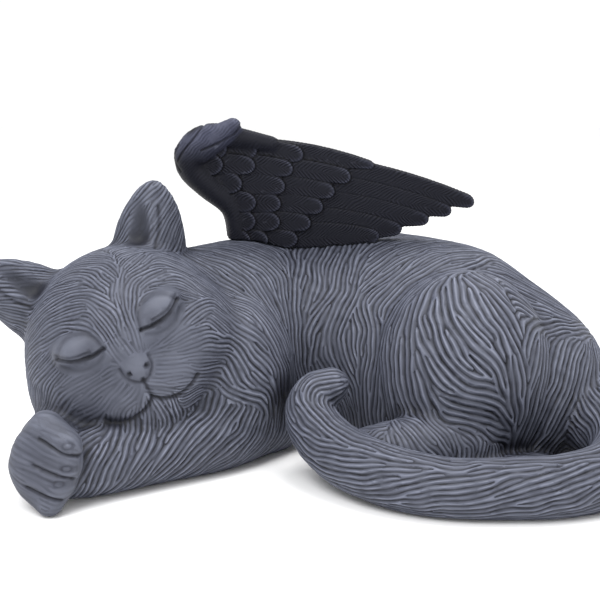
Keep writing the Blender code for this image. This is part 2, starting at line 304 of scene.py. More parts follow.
# The lie of the fur, as comb strokes seen in the picture: pixels across and down, and the heading in degrees
# clockwise from the picture's right
STROKES = {
    "head": [
        (127, 328, -108), (120, 290, -90), (130, 290, -76), (144, 278, -53), (158, 277, -37), (141, 260, -66),
        (172, 266, -17), (195, 285, 12), (100, 280, -127), (89, 276, -150), (74, 290, -171), (95, 302, -145),
        (67, 299, 174), (52, 313, 168), (104, 323, -135), (79, 318, -168), (48, 333, 165), (39, 353, 162),
        (45, 371, 156), (67, 382, 153), (95, 382, 150), (67, 404, 143), (90, 404, 135), (47, 401, 120),
        (125, 399, 127), (120, 424, 96), (147, 415, 79), (168, 406, 60), (173, 376, -3), (164, 387, 12),
        (175, 355, -18), (181, 334, -45), (200, 339, -18), (202, 310, -43), (209, 359, 0), (216, 343, 6),
        (221, 319, 25), (200, 377, 24), (189, 393, 6), (115, 337, -127),
    ],
    "torso": [
        (244, 272, 37), (265, 289, 70), (277, 305, 92), (299, 289, 105), (289, 324, 98), (289, 353, 78),
        (301, 376, 53), (324, 277, 96), (331, 301, 117), (320, 324, 114), (313, 348, 90), (324, 362, 60),
        (343, 376, 53), (348, 277, 96), (343, 308, 114), (334, 331, 107), (334, 348, 73), (348, 362, 53),
        (376, 289, 135), (362, 320, 66), (369, 341, 75), (366, 370, 95), (370, 410, 92), (419, 265, 127),
        (442, 261, 139), (466, 258, 140), (489, 256, 125), (498, 273, 180), (513, 282, 200), (530, 290, 195),
        (543, 298, 185), (549, 309, 180), (540, 314, 175), (527, 318, 120), (540, 327, 150), (525, 326, 105),
        (550, 324, 158), (562, 316, 165), (574, 328, 150), (537, 348, 125),
        (560, 348, 124), (537, 383, 117), (560, 383, 114), (530, 419, 102), (548, 419, 114), (572, 395, 120),
        (584, 360, 127), (584, 430, 127), (560, 449, 135),
    ],
    "haunch": [
        (395, 313, 87), (400, 348, 78), (409, 383, 69), (419, 414, 60), (438, 438, 45), (466, 452, 18),
        (430, 301, 84), (435, 329, 63), (430, 357, 53), (442, 372, 41), (466, 390, 24), (489, 400, 24),
        (508, 419, 45), (518, 442, 66), (454, 294, 84), (466, 320, 66), (478, 338, 53), (497, 360, 45),
        (511, 381, 60), (517, 407, 73), (478, 289, 72), (494, 313, 65), (506, 336, 66), (517, 362, 73),
        (466, 419, 11), (489, 430, 18), (501, 442, 24), (520, 383, 90), (521, 419, 90), (522, 442, 90),
        (537, 348, 125), (537, 383, 117), (548, 324, 155), (536, 300, 180),
    ],
    "shoulder": [
        (237, 275, 15), (252, 296, 21), (242, 306, 17), (221, 295, 53), (263, 318, 60), (250, 330, 27),
        (272, 345, 53), (244, 348, 53), (263, 357, 30), (239, 371, 66), (263, 379, 30), (284, 382, 60),
        (250, 393, 24), (273, 405, 53), (286, 413, 84), (277, 305, 80),
    ],
    "foreleg": [
        (265, 421, 108), (279, 430, 108), (246, 414, 120), (224, 418, 135), (232, 443, 150), (256, 454, 156),
        (210, 403, 120), (91, 461, 120), (104, 487, 101), (120, 457, 120), (128, 477, 116), (144, 466, 131),
        (158, 445, 120), (163, 471, 139), (182, 447, 135), (194, 425, 127), (199, 457, 143), (225, 463, 163),
        (258, 451, 146),
    ],
    "hind_foot": [(370, 440, 85), (395, 442, 75), (410, 447, 62), (440, 452, 45)],
    "far_paw": [(30, 432, 20), (50, 450, 14), (40, 480, 16)],
}

# How many pixels a comb stroke reaches beside itself before the next ones take over
STROKE_REACH = 5.0

# The slants of the fur that isn't combed by strokes, as shares of its main direction, and the fineness of the
# waves on the far side in clay millimetres
EAR_LIE_RISE = 0.45
TAIL_LIE_DROP = 0.25
FAR_SIDE_SLANT = 0.3
FAR_SIDE_WAVE = 0.35
FAR_SIDE_WAVELENGTH = 9.0


def unit(vectors):
    return vectors / np.maximum(np.linalg.norm(vectors, axis=-1, keepdims=True), 1e-6)


def combed(points, strokes):
    """Direction of the fur at the points, between the nearest comb strokes."""
    across, down = in_picture(points)
    right, low = 0.0, 0.0
    for stroke_across, stroke_down, heading in strokes:
        distance = (across - stroke_across) ** 2 + (down - stroke_down) ** 2
        weight = 1.0 / (distance + STROKE_REACH**2) ** 3
        right = right + weight * math.cos(math.radians(heading))
        low = low + weight * math.sin(math.radians(heading))
    return unit(right[..., None] * PICTURE_RIGHT + low[..., None] * PICTURE_DOWN)


def along_path(points, stations, slant_down):
    """Direction along the nearest stretch of a limb, with a share of the downward direction added."""
    path = smooth_path(stations)[:, :3].astype(np.float32)
    nearest = np.full(points.shape[:-1], 1e9, np.float32)
    lie = np.zeros(points.shape, np.float32)
    for start, end in zip(path, path[1:]):
        along = end - start
        _, gap = to_stretch(points, start, end)
        closer = gap < nearest
        nearest = np.where(closer, gap, nearest)
        lie = np.where(closer[..., None], along / np.linalg.norm(along), lie)
    return unit(lie - np.float32([0, 0, slant_down]))


def ear_lie(points):
    """Strands on the ears slant outwards and up."""
    local = head_directions(points)
    side = np.sign(local[..., :1])
    lie = np.concatenate([side, np.zeros_like(side), np.full_like(side, EAR_LIE_RISE)], axis=-1)
    return lie @ HEAD_AXES.T


def far_side_lie(points):
    """The plain fur of the side turned away: down from the spine and a little back, in gentle waves."""
    back = FAR_SIDE_WAVE * np.sin(points[..., 2] / FAR_SIDE_WAVELENGTH) + FAR_SIDE_SLANT
    down = np.full(back.shape, -1.0)
    return unit(np.stack([back, np.zeros_like(back), down], axis=-1))


def part_lies(points):
    lies = {name: combed(points, strokes) for name, strokes in STROKES.items()}
    lies["ears"] = ear_lie(points)
    lies["tail"] = along_path(points, TAIL_STATIONS, TAIL_LIE_DROP)
    return lies


# Width of a strand and depth of the groove beside it on each mass, in clay millimetres
STRAND_WIDTH = {
    "torso": 2.2, "haunch": 2.9, "hind_foot": 1.9, "shoulder": 2.3, "foreleg": 2.3, "head": 1.6,
    "ears": 1.7, "far_paw": 2.2, "tail": 2.2,
}
STRAND_DEPTH = {
    "torso": 0.7, "haunch": 0.9, "hind_foot": 0.5, "shoulder": 0.7, "foreleg": 0.75, "head": 0.48,
    "ears": 0.45, "far_paw": 0.12, "tail": 0.7,
}

# Width of the change from one mass's fur to the next one's, in clay millimetres
BLEND_WIDTH = 2.0

# The broad locks that the strands lie in: width in strands, and depth as a share of the strands' own
LOCK_WIDTH = 3.1
LOCK_SHARE = 0.65

# Unevenness of the fur, each as an amount, a wavelength in clay millimetres and a seed: how the lie sways in
# radians, and how the strands widen, deepen and darken
SWAY = (0.26, 14.0, 11)
WIDENING = (0.25, 9.0, 12)
FINE_DEEPENING = (0.3, 6.0, 13)
BROAD_DEEPENING = (0.2, 25.0, 14)
DARKENING = (0.4, 7.0, 15)
MEAN_DEPTH = 0.85
MEAN_DARKNESS = 0.72


def unevenness(points, amount, wavelength, seed):
    """Gentle random swelling over the clay, about as much to either side of zero as the amount."""
    source = np.random.default_rng(seed)
    total = 0.0
    for _ in range(8):
        direction = source.standard_normal(3)
        direction *= 2 * math.pi / wavelength / np.linalg.norm(direction) * source.uniform(0.6, 1.4)
        total = total + np.sin(points @ np.float32(direction) + source.uniform(0, 2 * math.pi))
    return amount * (total / 4.0)


def turned(vectors, normals, angle):
    """The vectors turned about the normals, by an angle in radians for each."""
    return vectors * np.cos(angle)[..., None] + np.cross(normals, vectors) * np.sin(angle)[..., None]


class Fur:
    """Strands of even width over the surface.

    Each point of the coarse surface holds a wave that runs across the lie of the fur, one wave to a strand.
    The waves are shifted over and over until each fits its neighbours, which joins them into long strands.
    """

    # How far neighbours are sought, in cells, and how often the waves are shifted
    REACH = 3
    ROUNDS = 140

    # How a neighbour's say fades with its distance along and beside the strand, in square clay millimetres
    ALONG_FADE = 18.0
    BESIDE_FADE = 6.0

    # How fast a coarse point's say fades on the fine surface, and how many places are worked out at once
    NEAR_FADE = 0.55
    BATCH = 40000

    def __init__(self, clay, points, normals, lie, width, depth):
        self.clay, self.points, self.normals, self.depth = clay, points, normals, depth
        lie = unit(lie - normals * (lie * normals).sum(axis=-1, keepdims=True))
        self.lie = lie
        self.waves = np.cross(normals, lie) / width[:, None] * np.float32(2 * math.pi)
        self.holder = np.full(clay.shape, -1, np.int32)
        self.cells = clay.cell_of(points)
        self.holder[tuple(self.cells.T)] = np.arange(len(points), dtype=np.int32)
        self.phase = np.angle(self.fit_together()).astype(np.float32)

    def neighbours(self, reach):
        """Pairs of points that lie within the reach, in cells, sorted by the first of each pair."""
        firsts, seconds = [], []
        every = np.arange(len(self.points), dtype=np.int32)
        limit = np.array(self.clay.shape) - 1
        for step in np.ndindex(2 * reach + 1, 2 * reach + 1, 2 * reach + 1):
            cell = np.clip(self.cells + np.array(step) - reach, 0, limit)
            other = self.holder[tuple(cell.T)]
            found = (other >= 0) & (other != every)
            firsts.append(every[found])
            seconds.append(other[found])
        first, second = np.concatenate(firsts), np.concatenate(seconds)
        order = np.argsort(first, kind="stable")
        return first[order], second[order]

    def fit_together(self):
        first, second = self.neighbours(self.REACH)
        gap = self.points[first] - self.points[second]
        along = (gap * (self.lie[first] + self.lie[second]) * 0.5).sum(axis=-1)
        beside = (gap * gap).sum(axis=-1) - along * along
        facing = np.clip((self.normals[first] * self.normals[second]).sum(axis=-1), 0, 1)
        weight = facing**2 * np.exp(-along * along / self.ALONG_FADE - beside / self.BESIDE_FADE)
        advance = (0.5 * (self.waves[first] + self.waves[second]) * gap).sum(axis=-1)
        link = (weight * np.exp(1j * advance)).astype(np.complex64)
        starts = np.flatnonzero(np.r_[True, first[1:] != first[:-1]])
        owners = first[starts]
        start_phase = np.random.default_rng(4).uniform(0, 2 * math.pi, len(self.points))
        wave = np.exp(1j * start_phase).astype(np.complex64)
        for _ in range(self.ROUNDS):
            wave[owners] = np.add.reduceat(link * wave[second], starts)
            wave /= np.maximum(np.abs(wave), 1e-9)
        return wave

    def at(self, places, normals):
        """The strand wave as a complex number and the depth of its groove, on the fine surface."""
        parts = np.array_split(np.arange(len(places)), max(1, len(places) // self.BATCH))
        with ThreadPoolExecutor(4) as pool:
            found = list(pool.map(lambda part: self.near(places[part], normals[part]), parts))
        return np.concatenate([wave for wave, _ in found]), np.concatenate([depth for _, depth in found])

    def near(self, places, normals):
        cells = self.clay.cell_of(places)
        limit = np.array(self.clay.shape) - 1
        wave = np.zeros(len(places), np.complex64)
        depth = np.zeros(len(places), np.float32)
        total = np.full(len(places), 1e-9, np.float32)
        for step in np.ndindex(3, 3, 3):
            cell = np.clip(cells + np.array(step) - 1, 0, limit)
            other = self.holder[tuple(cell.T)]
            found = np.flatnonzero(other >= 0)
            other = other[found]
            gap = places[found] - self.points[other]
            facing = np.clip((normals[found] * self.normals[other]).sum(axis=-1), 0, 1)
            weight = facing * np.exp((gap * gap).sum(axis=-1) * np.float32(-self.NEAR_FADE))
            angle = self.phase[other] + (self.waves[other] * gap).sum(axis=-1)
            wave[found] += weight * np.exp(1j * angle)
            depth[found] += weight * self.depth[other]
            total[found] += weight
        return wave / np.maximum(np.abs(wave), 1e-9), depth / total


def ridge(wave):
    """Profile across a strand: 1 on its rounded top, 0 in the sharp groove beside it."""
    return np.sqrt(np.clip((1 + wave.real) / 2, 0, 1))


def comb_the_cat(clay, points, normals):
    """The fur of the whole cat: fine strands, and the broad locks that they lie in."""
    parts = cat_parts(points)
    least = np.min(list(parts.values()), axis=0)
    weights = {name: np.exp(-(distance - least) / BLEND_WIDTH) for name, distance in parts.items()}
    total = sum(weights.values())
    lies = part_lies(points)
    away = np.clip((normals @ GAZE) * 4, 0, 1)[:, None]
    lies["torso"] = unit(lies["torso"] * (1 - away) + far_side_lie(points) * away)
    lie = unit(sum((weights[name] / total)[:, None] * lies[name] for name in parts))
    lie = turned(lie, normals, unevenness(points, *SWAY))
    width = sum(weights[name] / total * STRAND_WIDTH[name] for name in parts)
    depth = sum(weights[name] / total * STRAND_DEPTH[name] for name in parts)
    width = width * (1 + unevenness(points, *WIDENING))
    deepening = MEAN_DEPTH + unevenness(points, *FINE_DEEPENING) + unevenness(points, *BROAD_DEEPENING)
    depth = depth * deepening
    strands = Fur(clay, points, normals, lie, width, depth)
    locks = Fur(clay, points, normals, lie, width * LOCK_WIDTH, depth)
    return strands, locks


def grid_points(low, shape, cell):
    axes = [np.float32(a) + cell * np.arange(count, dtype=np.float32) for a, count in zip(low, shape)]
    return np.stack(np.meshgrid(*axes, indexing="ij"), axis=-1)


# How far out from the surface a crease is looked for, in clay millimetres, for the painted shade in creases
CREASE_REACHES = (2.5, 5.0, 7.5)


class Clay:
    """A distance field on a grid, worked out finely only near the surface."""

    COARSENESS = 4

    def __init__(self, field, space, cell):
        low, high = np.array(space[0]), np.array(space[1])
        blocks = np.ceil((high - low) / (cell * self.COARSENESS)).astype(int)
        self.low, self.cell = low, cell
        self.shape = tuple(blocks * self.COARSENESS)
        coarse = field(grid_points(low, blocks + 1, cell * self.COARSENESS))
        nearest = np.full(tuple(blocks), 1e9, np.float32)
        for step in np.ndindex(2, 2, 2):
            window = tuple(slice(s, s + count) for s, count in zip(step, blocks))
            nearest = np.minimum(nearest, np.abs(coarse[window]))
        inside = coarse[: blocks[0], : blocks[1], : blocks[2]] < 0
        self.distance = self.spread(np.where(inside, -9.0, 9.0).astype(np.float32))
        cells = np.argwhere(self.spread(nearest < cell * self.COARSENESS * 1.3))
        self.distance[tuple(cells.T)] = field((self.low + cells * cell).astype(np.float32))

    def at(self, places):
        """The distance at any places, between the grid's own."""
        share = (places - np.float32(self.low)) / np.float32(self.cell)
        cell = np.clip(np.floor(share).astype(np.int32), 0, np.array(self.shape) - 2)
        share = share - cell
        total = 0.0
        for step in np.ndindex(2, 2, 2):
            weight = np.prod(np.where(np.array(step) == 1, share, 1 - share), axis=-1)
            total = total + weight * self.distance[tuple((cell + np.array(step)).T)]
        return total

    def crease(self, places, normals):
        """How far each place is shut in by what stands round it: 0 in the open, towards 1 in a crease."""
        shut = 0.0
        for reach in CREASE_REACHES:
            shut = shut + np.clip(1 - self.at(places + reach * normals) / reach, 0, 1)
        return shut / len(CREASE_REACHES)

    def spread(self, blocks):
        for axis in range(3):
            blocks = np.repeat(blocks, self.COARSENESS, axis=axis)
        return blocks

    def cell_of(self, points):
        return np.floor((points - np.float32(self.low)) / np.float32(self.cell)).astype(np.int32)


def stroke(x, z, stations, width):
    """A drawn line's profile across its width: 1 on the line, 0 beside it."""
    path = np.array(stations, float)
    nearest = np.full(x.shape, 1e9)
    for (x0, z0), (x1, z1) in zip(path, path[1:]):
        length = (x1 - x0) ** 2 + (z1 - z0) ** 2
        share = np.clip(((x - x0) * (x1 - x0) + (z - z0) * (z1 - z0)) / length, 0, 1)
        nearest = np.minimum(nearest, np.hypot(x - x0 - share * (x1 - x0), z - z0 - share * (z1 - z0)))
    return np.exp(-((nearest / width) ** 2))


def curve2(stations, steps=6):
    """A smooth drawn line through the stations."""
    rows = [(x, z, 0.0, 0.0) for x, z in stations]
    return smooth_path(rows, steps)[:, :2]


# The lines of the face, across and up in the head's own directions: half of each, mirrored for the other side
LID_LINE = [(8.2, 5.1), (13.5, 4.2), (20.5, 5.2), (26.3, 8.7)]
LID_TOP = [(8.2, 5.1), (9.4, 10.2), (12.5, 13.4), (17.5, 14.6), (22.5, 13.0), (26.3, 8.7)]
LID_FOLD = [(9.0, 3.0), (13.7, 0.6), (20.4, 1.0), (26.0, 5.5)]
MOUTH_LINE = [(0.0, -20.5), (4.2, -23.4), (9.6, -24.8), (15.0, -24.0), (19.8, -21.4)]
PHILTRUM = [(0.0, -12.0), (0.0, -20.5)]
NOSE_LINE = [(6.2, -4.5), (5.8, -8.5), (2.4, -12.2), (0.0, -12.8)]

# The depth, half width and rise of each of them. The lash line follows the lid's edge again, a little higher
FACE_LINES = (
    (1.2, 0.7, 0.0, LID_LINE),
    (0.5, 0.55, 1.9, LID_LINE[1:]),
    (0.45, 0.7, 0.0, LID_TOP),
    (0.3, 0.7, 0.0, LID_FOLD),
    (1.0, 0.75, 0.0, MOUTH_LINE),
    (0.7, 0.7, 0.0, PHILTRUM),
    (0.6, 0.6, 0.0, NOSE_LINE),
)

# The nostrils: middle across and up, half width and half height, and depth
NOSTRIL = (3.9, -7.8, 1.0, 0.9)
NOSTRIL_DEPTH = 1.4

# Patches of the face: middle across and up, slant, half width and half height. The lid, the skin below it and
# the nose are bare, and the muzzle has little fur
LID_PATCH = (17.3, 8.8, 0.15, 9.8, 6.2)
LOWER_LID_PATCH = (17.3, 3.6, 0.2, 10.0, 4.6)
NOSE_PATCH = (0.0, -7.6, 0.0, 6.6, 5.6)
MUZZLE_PATCH = (12.0, -8.0, 0.0, 16.0, 15.0)
MUZZLE_FUR = 0.35

# The grooves between the toes of the far paw, across and up
TOE_GROOVES = (
    [(-95.8, 30.6), (-92.8, 29.4), (-86.3, 26.2), (-81.0, 24.6)],
    [(-98.1, 21.2), (-91.5, 18.6), (-83.4, 16.0)],
    [(-101.2, 12.2), (-94.0, 9.6), (-88.0, 7.6)],
)
TOE_GROOVE_DEPTH = 0.95
TOE_GROOVE_HALF_WIDTH = 0.55

# The nails of the far paw: their middles across and up, their size, and the groove round each of them
NAILS = ((-84.6, 28.9), (-85.2, 20.3), (-88.3, 14.4))
NAIL_HALF_LENGTH = 1.9
NAIL_HALF_WIDTH = 1.2
NAIL_GROOVE_DEPTH = 0.35
NAIL_GROOVE_SHARE = 0.3

# The grooves of the paw are only in front of this place
PAW_FRONT = -88.0

# The fold in each ear, across and along it in the ear's own directions
EAR_FOLD = [(-1.5, 4.0), (-3.0, 12.0), (-2.2, 21.0)]
EAR_FOLD_DEPTH = 0.5
EAR_FOLD_HALF_WIDTH = 0.7


def in_patch(x, z, patch):
    """How far out each place lies in a slanted ellipse: 0 in its middle and 1 on its edge."""
    middle_x, middle_z, slant, half_width, half_height = patch
    return np.hypot((x - middle_x) / half_width, (z - middle_z - slant * (x - middle_x)) / half_height)


def face_relief(places):
    """Depth of the lines of face and paw, the share of fur left there, and how far the ears are hollow."""
    local = head_directions(places)
    x, z = np.abs(local[:, 0]), local[:, 2]
    front = np.clip((-local[:, 1] - 14) / 8, 0, 1)
    bare = np.min([in_patch(x, z, patch) for patch in (LID_PATCH, LOWER_LID_PATCH, NOSE_PATCH)], axis=0)
    fur = np.clip((bare - 1.0) / 0.14, 0, 1)
    beyond_muzzle = np.clip((in_patch(x, z, MUZZLE_PATCH) - 0.75) / 0.5, 0, 1)
    fur = fur * (MUZZLE_FUR + (1 - MUZZLE_FUR) * beyond_muzzle)
    fur = 1 - front * (1 - fur)
    depth = 0.0
    for line_depth, half_width, rise, stations in FACE_LINES:
        depth = depth + line_depth * stroke(x, z - rise, curve2(stations), half_width)
    across, up, half_width, half_height = NOSTRIL
    nostril = np.exp(-(((x - across) / half_width) ** 2) - ((z - up) / half_height) ** 2)
    depth = depth + NOSTRIL_DEPTH * nostril
    hollow, fold = ear_relief(local)
    return depth * front + fold + paw_relief(places), fur * (1 - hollow), hollow


def ear_relief(local):
    """How far each place lies in the hollow of an ear, and the depth of the ear's fold."""
    mirrored = np.column_stack([np.abs(local[:, 0]), local[:, 1], local[:, 2]])
    own, _ = ear_directions(mirrored, 1)
    hollow = np.clip(0.7 - ball(own, EAR_HOLLOW_CENTRE, EAR_HOLLOW_RADII), 0, 1)
    above = np.clip(own[:, 2] / 2, 0, 1)
    inner_side = own[:, 1] < EAR_CUPPING * own[:, 0] ** 2
    fold = EAR_FOLD_DEPTH * stroke(own[:, 0], own[:, 2], curve2(EAR_FOLD), EAR_FOLD_HALF_WIDTH) * inner_side
    return hollow * above, fold * above


def paw_relief(places):
    """Depth of the grooves between the toes of the far paw and round each nail."""
    depth = 0.0
    for groove in TOE_GROOVES:
        line = stroke(places[:, 0], places[:, 2], curve2(groove), TOE_GROOVE_HALF_WIDTH)
        depth = depth + TOE_GROOVE_DEPTH * line
    for nail_across, nail_up in NAILS:
        across = (places[:, 0] - nail_across) / NAIL_HALF_LENGTH
        up = (places[:, 2] - nail_up) / NAIL_HALF_WIDTH
        rim = np.hypot(across, up)
        depth = depth + NAIL_GROOVE_DEPTH * np.exp(-(((rim - 1) / NAIL_GROOVE_SHARE) ** 2))
    return depth * (places[:, 1] < PAW_FRONT)


def mesh_from_grid(name, distance, low, cell):
    grid = openvdb.FloatGrid(9.0)
    grid.copyFromArray(distance)
    vertices, triangles, quads = grid.convertToPolygons(isovalue=0.0, adaptivity=0.0)
    vertices = vertices * cell + np.float32(low)
    mesh = bpy.data.meshes.new(name)
    mesh.from_pydata(vertices.tolist(), [], triangles.tolist() + quads.tolist())
    obj = bpy.data.objects.new(name, mesh)
    bpy.context.scene.collection.objects.link(obj)
    return obj


def apply_modifier(obj, kind, **settings):
    modifier = obj.modifiers.new(kind, kind)
    for setting, value in settings.items():
        setattr(modifier, setting, value)
    evaluated = obj.evaluated_get(bpy.context.evaluated_depsgraph_get())
    mesh = bpy.data.meshes.new_from_object(evaluated)
    obj.modifiers.clear()
    old_mesh = obj.data
    obj.data = mesh
    bpy.data.meshes.remove(old_mesh)


def subdivide(obj, levels):
    apply_modifier(obj, "SUBSURF", levels=levels, render_levels=levels)


def simplify(obj, triangles):
    apply_modifier(obj, "TRIANGULATE")
    if len(obj.data.polygons) > triangles:
        apply_modifier(obj, "DECIMATE", ratio=triangles / len(obj.data.polygons))


def array_of(items, attribute):
    values = np.empty(len(items) * 3, np.float32)
    items.foreach_get(attribute, values)
    return values.reshape(-1, 3)


def surface(obj):
    """Places and normals of the vertices."""
    return array_of(obj.data.vertices, "co"), array_of(obj.data.vertex_normals, "vector")


def set_vertices(mesh, places):
    mesh.vertices.foreach_set("co", np.ascontiguousarray(places, dtype=np.float32).ravel())
    mesh.update()


def store(mesh, name, vectors):
    """Keeps three numbers with each vertex, for the paint."""
    attribute = mesh.attributes.new(name, "FLOAT_VECTOR", "POINT")
    attribute.data.foreach_set("vector", np.ascontiguousarray(vectors, dtype=np.float32).ravel())


def to_statue_size(obj):
    places = surface(obj)[0] - np.float32([*PLAN_CENTRE, 0.0])
    set_vertices(obj.data, places * METRE_PER_CLAY_MM)


def cat_field(points):
    return join_parts(cat_parts(points), points)


# Height over which the fur fades in above the ground, and depth of groove at which its paint is fullest
BARE_HEIGHT = 1.5
FULL_PAINT_DEPTH = 0.5

# The darkening, as shares of a carved line's: painted shade in the ears' hollows, dark paint in the partings
# between locks, and painted shade from LOW_HEIGHT down to the ground. In a crease the painted shade grows by
# CREASE_DARK once past CREASE_START, up to CREASE_MOST
HOLLOW_SHADE = 0.7
PARTING_DARK = 0.4
LOW_SHADE = 0.22
LOW_HEIGHT = 45.0
CREASE_DARK = 2.0
CREASE_START = 0.52
CREASE_MOST = 0.85


def build_cat():
    clay = Clay(cat_field, CAT_SPACE, CAT_CELL)
    obj = mesh_from_grid("cat_casting", clay.distance, clay.low, clay.cell)
    strands, locks = comb_the_cat(clay, *surface(obj))
    subdivide(obj, 2)
    places, normals = surface(obj)
    wave, depth = strands.at(places, normals)
    lock_wave, _ = locks.at(places, normals)
    line_depth, fur, _ = face_relief(places)
    ground = np.clip(places[:, 2] / BARE_HEIGHT, 0, 1)
    carving = depth * (1 - ridge(wave) + LOCK_SHARE * (1 - ridge(lock_wave)))
    carving = carving * fur * ground + line_depth
    set_vertices(obj.data, places - carving[:, None] * normals)
    simplify(obj, CAT_TRIANGLES)
    places, normals = surface(obj)
    wave, depth = strands.at(places, normals)
    line_depth, fur, hollow = face_relief(places)
    ground = np.clip(places[:, 2] / BARE_HEIGHT, 0, 1)
    strength = fur * ground * np.clip(depth / FULL_PAINT_DEPTH, 0, 1)
    strength = strength * (MEAN_DARKNESS + unevenness(places, *DARKENING))
    store(obj.data, "comb", np.column_stack([wave.real, wave.imag, np.clip(strength, 0, 1)]))
    lock_wave, _ = locks.at(places, normals)
    parting = fur * (1 - ridge(lock_wave)) ** 2
    # Painted shade in the creases, from how shut in each place is
    crease = np.clip(CREASE_DARK * clay.crease(places, normals) - CREASE_START, 0, CREASE_MOST)
    low_down = np.clip(1 - places[:, 2] / LOW_HEIGHT, 0, 1)
    # Dark paint in the carved lines and partings, with painted shade in the ears' hollows, in creases and low
    # down
    lines_and_painted_shade = line_depth + HOLLOW_SHADE * hollow + PARTING_DARK * parting + crease + LOW_SHADE * low_down
    # The cat has no painted highlight
    no_painted_highlight = np.zeros_like(lines_and_painted_shade)
    store(obj.data, "lines", np.column_stack([np.clip(lines_and_painted_shade, 0, 1), no_painted_highlight, no_painted_highlight]))
    to_statue_size(obj)
    obj.data.shade_smooth()
    return obj


# The left wing, in its own directions: a runs back along the spine, b up, and c out to the viewer's side
WING_FOOT = (-33.0, 16.0, 84.0)

# How the sheet leans out and curls over as it rises, and its thickness as a share of its depth in space
WING_LEAN = 0.30
WING_CURL = 0.002
WING_THINNING = 0.93

# The plane in which the right wing mirrors the left one: a point on the spine, its turn and lean in degrees
SPINE_POINT = (5.0, 26.0, 84.0)
SPINE_TURN = 5.5
SPINE_LEAN = 4.5

# Lanes of feathers from the foot of the wing to its top edge: height at the front edge, then where the end of
# the lane's flight feather is, and how far back the tips of its shorter feathers reach
LANES = [
    (5.5, (70.0, 7.4), (11.0, 19.0, 32.5)),
    (15.0, (80.0, 10.5), (13.5, 24.5, 38.5)),
    (24.0, (92.0, 15.0), (14.0, 25.0, 44.0)),
    (32.5, (102.0, 19.0), (8.0, 27.0, 49.0)),
    (41.0, (112.0, 23.0), (0.0, 14.0, 30.5, 56.0)),
    (48.0, (66.0, 40.0), (2.0, 15.0, 35.0)),
]
LANE_HALF_WIDTH = 5.4
FLIGHT_HALF_WIDTH = 8.2
WING_BACK = 2.2

# How a lane bends between its heights, how far a feather rises from root to tip, and how round its edge is
LANE_BEND = 1.6
FEATHER_TILT = 1.6
EDGE_ROUNDING = 0.8

# How high the roots of the flight feathers lie, then those of the longest feathers over them, and the step to
# each shorter one
FLIGHT_LEVEL = 1.2
COVERT_LEVEL = 2.2
LEVEL_STEP = 0.9

# From these lengths on feathers are pointed, and flight feathers are broad
POINTED_LENGTH = 60.0
BROAD_LENGTH = 69.0
POINTED = 0.65
BLUNT = 0.3

# Where the lanes start behind the arm: heights and the distances along the spine that go with them
LANE_HEIGHTS = (0.0, 15.0, 24.0, 33.0, 42.0, 50.0)
LANE_STARTS = (2.0, 3.0, 0.0, -8.0, -14.0, -12.0)


def wing_directions(points):
    """The wing's own directions, whose sheet leans out and curls over towards the viewer as it rises."""
    a = points[..., 0] - WING_FOOT[0]
    b = points[..., 2] - WING_FOOT[2]
    rise = np.clip(b, 0, None)
    c = WING_FOOT[1] - WING_LEAN * rise - WING_CURL * rise * rise - points[..., 1]
    return np.stack([a, b, c * WING_THINNING], axis=-1)


def feather(a, b, c, lane, reach, half_width, level):
    """One feather as a thin plate along its lane, whose rounded tip stands proud of what lies behind it.

    Returns its distance, the place on it along and across the shaft, and the distance from its outline.
    """
    root_height, (end_a, end_b), _ = lane
    start = np.interp(root_height, LANE_HEIGHTS, LANE_STARTS)
    share = np.clip((a - start) / (reach - start), 0, 1)
    centre = root_height + (end_b - root_height) * np.clip(a / end_a, 0, 1) ** LANE_BEND
    pointed = POINTED if reach > POINTED_LENGTH else BLUNT
    width = half_width * (1 - pointed * np.clip((share - 0.5) / 0.5, 0, 1) ** 2)
    across = np.abs(b - centre) - width
    beyond = a - reach + width
    corner = np.hypot(np.maximum(beyond, 0), np.maximum(across + width, 0)) - width
    flat = np.where(beyond > 0, corner, np.maximum(across, start - a))
    top = level + FEATHER_TILT * share
    outline = np.where(beyond > 0, corner, across)
    return -merge(-flat, -(c - top), EDGE_ROUNDING), a - reach, b - centre, outline


def all_feathers(own):
    """Every feather of the sheet, each lane starting with its flight feather at the bottom."""
    a, b, c = own[..., 0], own[..., 1], own[..., 2]
    for lane in LANES:
        end = lane[1][0]
        flight_width = FLIGHT_HALF_WIDTH if end > BROAD_LENGTH else LANE_HALF_WIDTH
        yield feather(a, b, c, lane, end, flight_width, FLIGHT_LEVEL)
        for rank, reach in enumerate(reversed(lane[2])):
            yield feather(a, b, c, lane, reach, LANE_HALF_WIDTH, COVERT_LEVEL + LEVEL_STEP * rank)


def wing_sheet(own):
    shape = None
    for plate, _, _, _ in all_feathers(own):
        shape = plate if shape is None else np.minimum(shape, plate)
    return np.maximum(shape, -own[..., 2] - WING_BACK)


def wing_arm(own):
    """The round leading edge: up from the foot, forward to the wrist and over the top."""
    return limb(
        own,
        [
            (4, -8, 1, 4.5), (4, 12, 1, 4.5), (1, 22, 1, 5), (-8, 31, 2, 6), (-15, 40, 3, 6.5),
            (-13, 49, 4, 6), (-5, 53.5, 4, 5.5), (5, 53, 3, 4.5), (20, 50, 2, 3.5),
        ],
    )


def wing_cap(own):
    """Three big feathers that wrap the bend of the wing."""
    shape = limb(own, [(-13, 35, 4, 4), (-17, 44, 5, 5), (-14, 50, 5, 4.2)])
    shape = merge(shape, limb(own, [(-14, 42, 6, 4), (-11, 49, 6.5, 5), (-6, 54, 5.5, 4.2)]), 1.5)
    return merge(shape, limb(own, [(-9, 46, 7, 4), (-2, 53, 7, 5), (4.5, 57.5, 5.5, 3.8)]), 1.5)


def left_wing(points):
    own = wing_directions(points)
    shape = merge(wing_sheet(own), wing_arm(own), 1.5)
    return merge(shape, wing_cap(own), 0.8)


# The barbs: pitch, depth and slant from the shaft, their slant on the bend of the wing and their share there
BARB_PITCH = 1.15
BARB_DEPTH = 0.26
BARB_ANGLE = math.radians(38.0)
BEND_ANGLE = math.radians(42.0)
BEND_SHARE = 0.5

